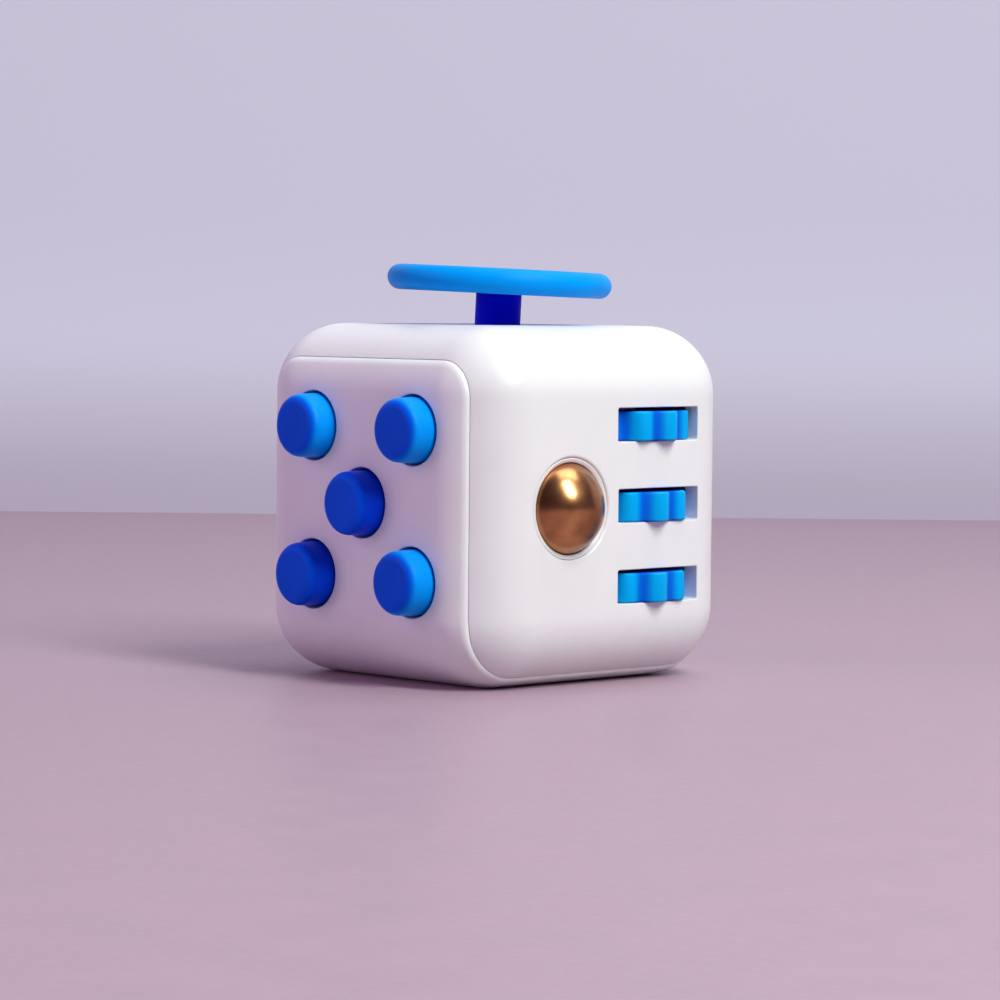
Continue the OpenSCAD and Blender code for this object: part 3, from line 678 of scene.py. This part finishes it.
def build_base():
    out_skin = Skin(base_world, R_BASE, dimple_height)
    in_skin = Skin(base_world, R_CAVITY)
    n = ((28, 18, 14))
    outs = [outline_rounded(out_skin, SEAM_BASE, *n)]
    ins = [outline_rounded(in_skin, SEAM_BASE, *n)]
    fillets = [(0.7, 0.13)]

    def seam_wall(u, v):
        phi = min(math.pi, max(0.0, out_skin.core(u, v)[2]))
        return -out_skin.direction((0.0, math.cos(phi), math.sin(phi)))

    walls = [seam_wall]
    sides = 72
    for i in range(1, 6):
        c = centre_mm(f"click_button_{i}")
        du, dq = c[0], MID - c[2]
        outs.append(circle_loop(du, along_path(out_skin, 0, dq), BUTTON_HOLE, sides))
        ins.append(circle_loop(du, along_path(in_skin, 0, dq), BUTTON_HOLE, sides))
        fillets.append(0.16)
        walls.append(lambda u, v: np.array((0.0, 1.0, 0.0)))
    dial = centre_mm("spin_dial")
    outs.append(circle_loop(dial[0], along_path(out_skin, 2, dial[2] - MID), 3.1, sides))
    ins.append(circle_loop(dial[0], along_path(in_skin, 2, dial[2] - MID), 3.1, sides))
    fillets.append(0.12)
    walls.append(lambda u, v: np.array((0.0, -1.0, 0.0)))
    edge = math.sqrt(DIMPLE_R**2 - (DIMPLE_R - DIMPLE_DEPTH) ** 2)
    rings = [ring_of("stadium", 0.0, along_path(out_skin, 1, 0.0), edge * s, 96) for s in (1.0, 0.97)]
    step = 0.7
    b = skin_shell(out_skin, in_skin, outs, ins, fillets, walls, rings, step, 1.6)
    for screw_x in (-1, 1):
        for screw_z in (-1, 1):
            lo, hi = box_mm("click_screws")
            x = screw_x * (hi[0] - 1.35)
            z = FACE_MID + screw_z * ((hi[2] - lo[2]) / 2 - 1.35)
            plate_front = box_mm("click_plate")[0][1]
            boss = [(0.5, 0.0), (1.5, 0.0), (1.5, 2.9), (0.5, 2.9)]
            b.append(*turned(boss, (x, plate_front, z), (0, -1, 0), 32))
    obj = make_object("base_skin", b.v, b.f, "housing", normals=b.n)
    return finish_piece(obj, "shell_white", "base_shell")


def build_side():
    out_skin = Skin(side_world, R_SIDE, dish_height)
    in_skin = Skin(side_world, R_CAVITY)
    n = ((28, 18, 14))
    outs = [outline_plane(out_skin, SEAM_SIDE, *n)]
    ins = [outline_plane(in_skin, SEAM_SIDE, *n)]
    fillets = [0.12]

    def seam_wall(u, v):
        if 0.0 <= v <= out_skin.end:
            return np.array((0.0, -1.0 if u > 0 else 1.0, 0.0))
        n = out_skin.direction(out_skin.core(u, v)[1])
        n[0] = 0.0
        return -n / np.linalg.norm(n)

    walls = [seam_wall]
    sides = 96
    ball = centre_mm("roll_ball")
    bore = 4.65
    outs.append(circle_loop(ball[1], along_path(out_skin, 0, ball[2] - MID), bore, sides))
    ins.append(circle_loop(ball[1], along_path(in_skin, 0, ball[2] - MID), bore, sides))
    fillets.append(0.3)
    walls.append(lambda u, v: np.array((-1.0, 0.0, 0.0)))
    for which in ("top", "middle", "bottom"):
        c = centre_mm(f"thumb_wheel_{which}")
        half_u, half_v = 5.225, 1.55
        args = (c[1], 0.0, half_u, half_v, 0.18)
        for skin, loops in ((out_skin, outs), (in_skin, ins)):
            loops.append(slot_loop(c[1], along_path(skin, 0, c[2] + SLOT_RISE - MID), *args[2:]))
        fillets.append(0.12)
        walls.append(lambda u, v: np.array((-1.0, 0.0, 0.0)))
    for skin, loops in ((out_skin, outs), (in_skin, ins)):
        loops.append(circle_loop(0.0, along_path(skin, 1, 0.0), 3.6, 56))
    fillets.append(0.12)
    walls.append(lambda u, v: np.array((0.0, 0.0, -1.0)))
    for skin, loops in ((out_skin, outs), (in_skin, ins)):
        loops.append(slot_loop(0.0, along_path(skin, 2, MID - FACE_MID), 4.3, 7.45, 0.3))
    fillets.append(0.16)
    walls.append(lambda u, v: np.array((1.0, 0.0, 0.0)))
    centre = along_path(out_skin, 1, 0.0)
    rings = [ring_of("circle", 0.0, centre, DISH_EDGE + d, 96) for d in (0.12, -0.12)]
    step = 0.7
    b = skin_shell(out_skin, in_skin, outs, ins, fillets, walls, rings, step, 1.6)
    cap = box_mm("ball_well_cap")[1][0]
    well = [(bore, cap), (5.4, cap), (5.4, SIDE_HI[0] - 1.0), (bore, SIDE_HI[0] - 1.0)]
    b.append(*turned(well, (0.0, ball[1], ball[2]), (1, 0, 0), 72))
    obj = make_object("side_skin", b.v, b.f, "housing", normals=b.n)
    return finish_piece(obj, "shell_white", "side_shell")


# ---------------------------------------------------------------- push buttons and their domes
def build_buttons():
    for i in range(1, 6):
        lo, hi = box_mm(f"click_button_{i}")
        c = (lo + hi) / 2
        back, front = -hi[1], -lo[1]
        flange = (hi[0] - lo[0]) / 2
        face = -BASE_LO[1]
        r, tip, fillet = BUTTON_R, BUTTON_R - 0.08, 0.9
        profile = [(0.0, back), (flange, back), (flange, back + 0.62), (r, back + 0.62), (r, face - 0.5),
                   (r, face)]
        profile = rounded_profile(profile, [0, 0, 0.1, 0.1, 0, 0], 3)
        rim = arc((tip - fillet, front - fillet), fillet, 0, 90, 14)
        profile += rim + [((tip - fillet) * 0.5, front + 0.0), (0.0, front)]
        obj = lathe(f"button_cap_{i}", profile, (c[0], 0.0, c[2]), (0, -1, 0), BODY_OF[f"click_button_{i}"])
        finish_piece(obj, "button_blue", f"click_button_{i}")
        # Buttons 3 and 4 get flanks with a painted shadow cast by the neighbouring buttons.
        if i in (3, 4):
            obj.data.materials[0] = MATERIALS["button_painted_shadow"]
        dlo, dhi = box_mm(f"button_dome_{i}")
        plate, top = -dhi[1], -dlo[1]
        points = [(0.0, top - 0.7), (1.2, top - 0.7), (2.1, plate + 0.35), (2.1, plate), (2.7, plate),
                  (2.7, plate + 0.35), (1.6, top), (0.0, top)]
        points = rounded_profile(points, 0.15, 3)
        dome = lathe(f"dome_{i}", points, (c[0], 0.0, c[2]), (0, -1, 0), "housing", 48)
        finish_piece(dome, "silicone", f"button_dome_{i}")
        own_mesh(dome)


# ---------------------------------------------------------------- ball, its bezel and dome
def build_ball():
    lo, hi = box_mm("roll_ball")
    c = (lo + hi) / 2
    r = (hi[0] - lo[0]) / 2
    obj = lathe("ball", arc((0.0, 0.0), r, -90, 90, 72), c, (0, 0, 1), "ball", 144, None)
    finish_piece(obj, "ball_steel", "roll_ball")
    blo, bhi = box_mm("ball_bezel")
    out = (bhi[2] - blo[2]) / 2
    back, front = blo[0], bhi[0]
    relief = r + 0.1
    lip = front - 0.23
    points = [(4.18, lip), (math.sqrt(relief**2 - (back - c[0]) ** 2), back), (out, back), (out, front)]
    loop = rounded_profile([points[-1]] + points + [points[0]], [0, 0.12, 0.1, 0.15, 0.12, 0], 5)[1:-1]
    obj = lathe("bezel", list(reversed(loop)), (0.0, c[1], c[2]), (1, 0, 0), "housing", 128)
    finish_piece(obj, "shell_white", "ball_bezel")
    dlo, dhi = box_mm("ball_click_dome")
    x0, x1 = dlo[0], dhi[0]
    points = [(0.0, x1 - 0.6), (1.5, x1 - 0.6), (2.4, x0 + 0.4), (2.4, x0), (3.2, x0), (3.2, x0 + 0.4),
              (2.0, x1), (0.0, x1)]
    dome = lathe("ball_dome", rounded_profile(points, 0.15, 3), (0.0, c[1], c[2]), (1, 0, 0), "housing", 48)
    finish_piece(dome, "silicone", "ball_click_dome")
    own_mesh(dome)


# ---------------------------------------------------------------- thumb wheels
TEETH = 11


def build_wheels():
    for which, phase in (("top", 9.0), ("middle", -2.7), ("bottom", -3.9)):
        node = f"thumb_wheel_{which}"
        lo, hi = box_mm(node)
        c = np.array(JOINTS[f"wheel_{which}_spin"]["pos_m"]) / MM
        r, depth, bevel = 6.5, 0.7, 0.2
        count = TEETH * 20
        bore = 1.08
        rows = []

        def outline(shrink, z):
            ring = []
            for k in range(count):
                a = 2 * math.pi * k / count
                rr = r - depth * (1 - math.cos(TEETH * a)) / 2 - shrink
                t = a + math.radians(phase)
                ring.append((c[0] + rr * math.cos(t), c[1] + rr * math.sin(t), z))
            return ring

        def circle(radius, z):
            turns = [2 * math.pi * k / count for k in range(count)]
            return [(c[0] + radius * math.cos(t), c[1] + radius * math.sin(t), z) for t in turns]

        rows.append(circle(bore, lo[2] + 0.1))
        rows.append(circle(bore + 0.1, lo[2]))
        rows.append(outline(bevel + 0.9, lo[2]))
        for i in range(5):
            t = math.radians(90 * i / 4)
            rows.append(outline(bevel * (1 - math.sin(t)), lo[2] + bevel * (1 - math.cos(t))))
        for i in range(5):
            t = math.radians(90 * i / 4)
            rows.append(outline(bevel * (1 - math.cos(t)), hi[2] - bevel * (1 - math.sin(t))))
        rows.append(outline(bevel + 0.9, hi[2]))
        rows.append(circle(bore + 0.1, hi[2]))
        rows.append(circle(bore, hi[2] - 0.1))
        verts = [p for row in rows for p in row]
        faces = []
        n_rows = len(rows)
        for j in range(n_rows):
            for k in range(count):
                n = (k + 1) % count
                m = (j + 1) % n_rows
                faces.append((j * count + k, j * count + n, m * count + n, m * count + k))
        obj = make_object(f"wheel_{which}_ring", verts, faces, BODY_OF[node], smooth_angle=50)
        finish_piece(obj, "wheel_blue", node)


# ---------------------------------------------------------------- joystick
def build_joystick():
    pivot = np.array(JOINTS["joystick_tilt_x"]["pos_m"]) / MM
    centre = centre_mm("joystick_cap")
    lean = centre - pivot
    lean /= np.linalg.norm(lean)
    reach = float(np.linalg.norm(centre - pivot))
    r, t = 10.59, 2.39
    z0 = reach - t / 2
    rim = t / 2
    socket = 1.2
    stem = 2.16
    top = [(r - 2.6, z0 + t - 0.02), (r - 3.8, z0 + t - 0.12), (r - 5.2, z0 + t - 0.3),
           (r - 7.4, z0 + t - 0.45), (0.0, z0 + t - 0.5)]
    profile = [(0.0, z0 + socket), (stem, z0 + socket), (stem, z0)]
    profile += arc((r - rim, z0 + rim), rim, -90, 90, 24) + top
    cap = lathe("joystick_disc", profile, pivot, lean, "joystick", 160)
    finish_piece(cap, "joystick_blue", "joystick_cap")
    slo = box_mm("joystick_stem")[0]
    foot_h = -(pivot[2] - slo[2]) + 0.08
    profile = [(0.0, foot_h), (2.9, foot_h), (2.9, foot_h + 0.7), (stem, foot_h + 0.7), (stem, z0 - 0.05),
               (stem, z0 + socket), (0.0, z0 + socket)]
    profile = rounded_profile(profile, [0, 0.12, 0.12, 0.15, 0, 0, 0], 4)
    piece = lathe("joystick_post", profile, pivot, lean, "joystick", 72)
    finish_piece(piece, "button_blue", "joystick_stem")
    piece.data.materials.clear()
    piece.data.materials.append(STEM_PAINTED_SHADE)
    klo, khi = box_mm("joystick_spring")
    coil("centring_spring", ((klo[0] + khi[0]) / 2, (klo[1] + khi[1]) / 2, klo[2]), (0, 0, 1), 2.3,
         khi[2] - klo[2], 3.5, 0.24, "housing", "spring_steel", "joystick_spring")
    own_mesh(bpy.data.objects["centring_spring"])


def coil(name, origin, axis, radius, length, turns, wire, body, slot_name, *nodes):
    """A closed helical wire with ground flat ends."""
    axis, side, up = frame_for(axis)
    origin = Vector(origin)
    per = 28
    count = int(turns * per)
    ring_n = 10
    verts, faces = [], []
    for i in range(count + 1):
        a = 2 * math.pi * i / per
        t = i / count
        h = wire + (length - 2 * wire) * t
        radial = side * math.cos(a) + up * math.sin(a)
        mid = origin + axis * h + radial * radius
        for k in range(ring_n):
            b = 2 * math.pi * k / ring_n
            verts.append(mid + (radial * math.cos(b) + axis * math.sin(b)) * wire)
    for i in range(count):
        for k in range(ring_n):
            n = (k + 1) % ring_n
            faces.append((i * ring_n + k, i * ring_n + n, (i + 1) * ring_n + n, (i + 1) * ring_n + k))
    faces.append(tuple(reversed(range(ring_n))))
    faces.append(tuple(count * ring_n + k for k in range(ring_n)))
    obj = make_object(name, verts, faces, body, smooth_angle=50)
    return finish_piece(obj, slot_name, *nodes)


# Painted shade: the stem's deeper blue, with almost no green, stands in for the disc's shadow falling on it.
STEM_PAINTED_SHADE = material("stem_blue_painted_shade", (0.0, 0.004, 0.95), spec=0.04, rough=0.45, mottle_and_painted_reflection=0.05, bump=0.05)


# ---------------------------------------------------------------- rocker
def build_rocker():
    joint = JOINTS["rocker_flip"]
    pivot = np.array(joint["pos_m"]) / MM
    tilt = math.radians((joint["range_deg"][1] - joint["range_deg"][0]) / 2)
    half_h, width = 6.9, 8.2
    face = -SIDE_LO[0] - (-pivot[0])
    rise = 1.2
    bevel = 0.3
    steps = 28
    back = 0.6

    def section(inset):
        """Side outline (outward, up) of the rocker, shrunk by inset."""
        h = half_h - inset
        pts = [(back + inset, -h), (face + rise - inset, -h)]
        for i in range(steps + 1):
            w = -h + 2 * h * i / steps
            pts.append((face + rise * (w / half_h) ** 2 - inset, w))
        pts += [(face + rise - inset, h), (back + inset, h)]
        flat = []
        for p in pts:
            if not flat or math.hypot(p[0] - flat[-1][0], p[1] - flat[-1][1]) > 1e-4:
                flat.append(p)
        return flat

    full = section(0.0)
    rounds = [0] + [0.0] + [0.3] + [0.0] * (len(full) - 4) + [0.3, 0.0, 0]
    full = rounded_profile([full[-1]] + full + [full[0]], rounds, 4)[1:-1]
    inner = offset_closed(full, bevel)
    rows = []
    for i in range(6):
        t = math.radians(90 * i / 5)
        rows.append((1 - math.sin(t), -width / 2 + bevel * (1 - math.cos(t))))
    for i in range(6):
        t = math.radians(90 * i / 5)
        rows.append((1 - math.cos(t), width / 2 - bevel * (1 - math.sin(t))))
    verts, faces = [], []
    n = len(full)
    ca, sa = math.cos(tilt), math.sin(tilt)

    def place(out, up, y):
        """Into the row frame: outward is -X, and at rest the lower end stands out."""
        o = out * ca - up * sa
        z = out * sa + up * ca
        return (pivot[0] - o, pivot[1] + y, pivot[2] + z)

    for shrink, y in rows:
        for p, q in zip(full, inner):
            verts.append(place(p[0] + (q[0] - p[0]) * shrink, p[1] + (q[1] - p[1]) * shrink, y))
    for j in range(len(rows) - 1):
        for k in range(n):
            m = (k + 1) % n
            faces.append((j * n + k, j * n + m, (j + 1) * n + m, (j + 1) * n + k))
    faces.append(tuple(reversed(range(n))))
    faces.append(tuple((len(rows) - 1) * n + k for k in range(n)))
    axle_v, axle_f = turned([(0.8, -width / 2 + 0.02), (1.9, -width / 2 + 0.02), (1.9, width / 2 - 0.02), (0.8, width / 2 - 0.02)],
                            tuple(pivot), (0, 1, 0), 48)
    start = len(verts)
    verts += [tuple(v) for v in axle_v]
    faces += [tuple(start + i for i in f) for f in axle_f]
    plo, phi = -3.4, 0.8
    tube = [(0.9, plo), (1.6, plo), (1.6, phi), (0.9, phi)]
    out_dir = Vector(place(1, 0, 0)) - Vector(place(0, 0, 0))
    tube_v, tube_f = turned(tube, tuple(pivot), out_dir, 40)
    start = len(verts)
    verts += [tuple(v) for v in tube_v]
    faces += [tuple(start + i for i in f) for f in tube_f]
    obj = make_object("rocker_key", verts, faces, "rocker", smooth_angle=35)
    finish_piece(obj, "button_blue", "flip_rocker")
    spring = centre_mm("flip_detent_spring")
    axis = Vector(tuple(spring - pivot)).normalized()
    ball = centre_mm("flip_detent_ball")
    far = float(np.linalg.norm(ball - pivot)) - 0.8
    coil("detent_spring", tuple(pivot + np.array(axis) * 1.2), tuple(axis), 0.6, far - 1.2, 4.0, 0.13, "rocker",
         "spring_steel", "flip_detent_spring")


def offset_closed(loop, d):
    """A counter-clockwise or clockwise loop moved inward by d."""
    pts = np.array(loop)
    area = 0.5 * np.sum(pts[:, 0] * np.roll(pts[:, 1], -1) - np.roll(pts[:, 0], -1) * pts[:, 1])
    return offset_loop(loop, d if area > 0 else -d)


# ---------------------------------------------------------------- dial
def build_dial():
    lo, hi = box_mm("spin_dial")
    c = (lo + hi) / 2
    r = (hi[0] - lo[0]) / 2
    hub_end, front = lo[1], hi[1]
    back = BASE_HI[1] + 0.2
    rim = 0.8
    count = 160
    hollow_x, hollow_r, hollow_depth = 4.0, 3.2, 1.1

    def top(x, z):
        d2 = (x - hollow_x) ** 2 + z * z
        sphere_h = front + hollow_r - hollow_depth
        if d2 < hollow_r**2:
            cut = sphere_h - math.sqrt(hollow_r**2 - d2)
            edge = 0.15
            if cut < front:
                return max(cut, front - hollow_depth) if front - cut > edge else front - (front - cut) ** 2 / edge * 0.5 - (front - cut) * 0.5
        return front

    verts, faces = [], []
    radii = [r - rim - (r - rim) * i / 44 for i in range(1, 44)]

    def ring(radius, y, hollow=False):
        row = []
        for k in range(count):
            a = 2 * math.pi * k / count
            x, z = radius * math.cos(a), radius * math.sin(a)
            row.append(len(verts))
            verts.append((c[0] + x, top(x, z) if hollow else y, c[2] + z))
        return row

    rows = [ring(0.6, hub_end), ring(2.9, hub_end), ring(3.0, hub_end + 0.1), ring(3.0, back),
            ring(r - 0.2, back), ring(r, back + 0.2)]
    for radius, y in arc((r - rim, front - rim), rim, 0, 90, 10):
        rows.append(ring(radius, y))
    for radius in radii:
        rows.append(ring(radius, front, True))
    for a, b in zip(rows, rows[1:]):
        for k in range(count):
            n = (k + 1) % count
            faces.append((a[k], b[k], b[n], a[n]))
    verts.append((c[0], top(0.0, 0.0), c[2]))
    tip = len(verts) - 1
    last = rows[-1]
    faces += [(last[k], tip, last[(k + 1) % count]) for k in range(count)]
    bore = ring(0.5, hub_end + 3.4)
    for k in range(count):
        n = (k + 1) % count
        faces.append((bore[k], rows[0][k], rows[0][n], bore[n]))
    faces.append(tuple(bore))
    obj = make_object("dial_knob", verts, faces, "dial", smooth_angle=40)
    finish_piece(obj, "button_blue", "spin_dial")


# ---------------------------------------------------------------- studio
VIEW_AZ, VIEW_EL, VIEW_ROLL = math.radians(46.924), math.radians(3.15), math.radians(0.538)
SWEEP_BACK = 0.30
SWEEP_RADIUS = 0.05


def build_sweep(floor_z):
    """A paper sweep: flat floor that curves up into a wall behind the object."""
    away = Vector((-math.sin(VIEW_AZ), math.cos(VIEW_AZ), 0.0))
    across = Vector((math.cos(VIEW_AZ), math.sin(VIEW_AZ), 0.0))
    path = [(-1.6, 0.0)]
    path += [(SWEEP_BACK - SWEEP_RADIUS + SWEEP_RADIUS * math.sin(math.radians(a)),
              SWEEP_RADIUS * (1 - math.cos(math.radians(a)))) for a in range(0, 91, 6)]
    path += [(SWEEP_BACK, 0.45)]
    verts, faces = [], []
    for d, h in path:
        for w in (-1.5, 1.5):
            p = away * d + across * w
            verts.append((p.x, p.y, floor_z + h))
    for k in range(len(path) - 1):
        faces.append((2 * k, 2 * k + 1, 2 * k + 3, 2 * k + 2))
    mesh = bpy.data.meshes.new("studio_sweep")
    mesh.from_pydata(verts, [], faces)
    mesh.shade_smooth()
    sweep = bpy.data.objects.new("studio_sweep", mesh)
    bpy.context.scene.collection.objects.link(sweep)
    floor = material("studio_floor", (0.42, 0.29, 0.36), rough=0.45, mottle_and_painted_reflection=0.02, bump=0.02, spec=0.4)
    mesh.materials.append(floor)
    mesh.materials.append(wall_material())
    for k, poly in enumerate(mesh.polygons):
        poly.material_index = 0 if k < 1 else 1
    sweep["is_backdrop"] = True


def wall_material():
    mat = bpy.data.materials.new("studio_wall")
    mat.use_nodes = True
    nt = mat.node_tree
    bsdf = nt.nodes["Principled BSDF"]
    bsdf.inputs["Base Color"].default_value = (0.25, 0.24, 0.29, 1)
    bsdf.inputs["Roughness"].default_value = 0.9
    coords = nt.nodes.new("ShaderNodeTexCoord")
    split = nt.nodes.new("ShaderNodeSeparateXYZ")
    nt.links.new(coords.outputs["Object"], split.inputs["Vector"])
    # The wall glows by emission instead of being lit, and the glow is painted darker over its lowest 3 cm, as painted
    # shade where the sweep meets the floor.
    rise = nt.nodes.new("ShaderNodeMapRange")
    rise.inputs["From Min"].default_value = 0.0
    rise.inputs["From Max"].default_value = 0.03
    rise.interpolation_type = "SMOOTHSTEP"
    nt.links.new(split.outputs["Z"], rise.inputs["Value"])
    ramp = nt.nodes.new("ShaderNodeValToRGB")
    ramp.color_ramp.elements[0].color = (0.19, 0.15, 0.20, 1)
    ramp.color_ramp.elements[1].color = (0.36, 0.345, 0.43, 1)
    nt.links.new(rise.outputs["Result"], ramp.inputs["Fac"])
    nt.links.new(ramp.outputs["Color"], bsdf.inputs["Emission Color"])
    bsdf.inputs["Emission Strength"].default_value = 1.0
    return mat


def build_studio():
    scene = bpy.context.scene
    build_sweep(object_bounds()[0].z)
    world = bpy.data.worlds.new("studio_world")
    scene.world = world
    world.use_nodes = True
    bg = world.node_tree.nodes["Background"]
    bg.inputs["Color"].default_value = (0.42, 0.30, 0.50, 1)
    bg.inputs["Strength"].default_value = 0.22

    centre = Vector((0.0, 0.0, FACE_MID * MM))

    def lamp(name, direction, distance, size, power, colour):
        light = bpy.data.lights.new(name, "AREA")
        light.shape = "RECTANGLE"
        light.size, light.size_y = size
        light.energy = power
        light.color = colour
        obj = bpy.data.objects.new(name, light)
        d = Vector(direction).normalized()
        obj.location = centre + d * distance
        obj.rotation_mode = "QUATERNION"
        obj.rotation_quaternion = d.to_track_quat("Z", "Y")
        scene.collection.objects.link(obj)
        return obj

    lamp("key", (1.0, -0.04, 0.98), 0.5, (0.12, 0.3), 2.6, (0.93, 1.0, 0.93))
    lamp("top", (0.1, 0.3, 1.0), 0.5, (0.3, 0.3), 0.9, (0.95, 1.0, 0.96))
    lamp("fill", (-0.5, -0.85, 0.3), 0.7, (0.5, 0.5), 1.3, (0.95, 0.66, 1.0))

    back = Vector((math.sin(VIEW_AZ) * math.cos(VIEW_EL), -math.cos(VIEW_AZ) * math.cos(VIEW_EL), math.sin(VIEW_EL)))
    right = Vector((math.cos(VIEW_AZ), math.sin(VIEW_AZ), 0.0))
    up = back.cross(right)
    right_r = right * math.cos(VIEW_ROLL) + up * math.sin(VIEW_ROLL)
    up_r = up * math.cos(VIEW_ROLL) - right * math.sin(VIEW_ROLL)
    cam_data = bpy.data.cameras.new("camera")
    cam_data.sensor_width = 36.0
    cam_data.lens = 133.56
    cam_data.clip_start = 0.01
    cam_data.clip_end = 20.0
    cam = bpy.data.objects.new("camera", cam_data)
    cam.rotation_mode = "QUATERNION"
    cam.location = centre + back * 0.35136 + right * 0.0005825 - up * 0.0001286
    cam.rotation_quaternion = Matrix((right_r, up_r, back)).transposed().to_quaternion()
    scene.collection.objects.link(cam)
    scene.camera = cam
    scene.view_settings.view_transform = "Standard"


build_base()
build_side()
build_buttons()
build_ball()
build_wheels()
build_joystick()
build_rocker()
build_dial()
replaced = {"base_shell", "side_shell", "roll_ball", "ball_bezel", "ball_click_dome", "joystick_cap", "joystick_stem",
            "joystick_spring", "flip_rocker", "flip_detent_spring", "spin_dial"}
for node_name, node in frame["nodes"].items():
    if node_name in replaced or node_name.startswith(("click_button", "button_dome", "thumb_wheel")):
        continue
    node.data.materials.clear()
    node.data.materials.append(MATERIALS[SLOT_OF[node_name]])
build_studio()
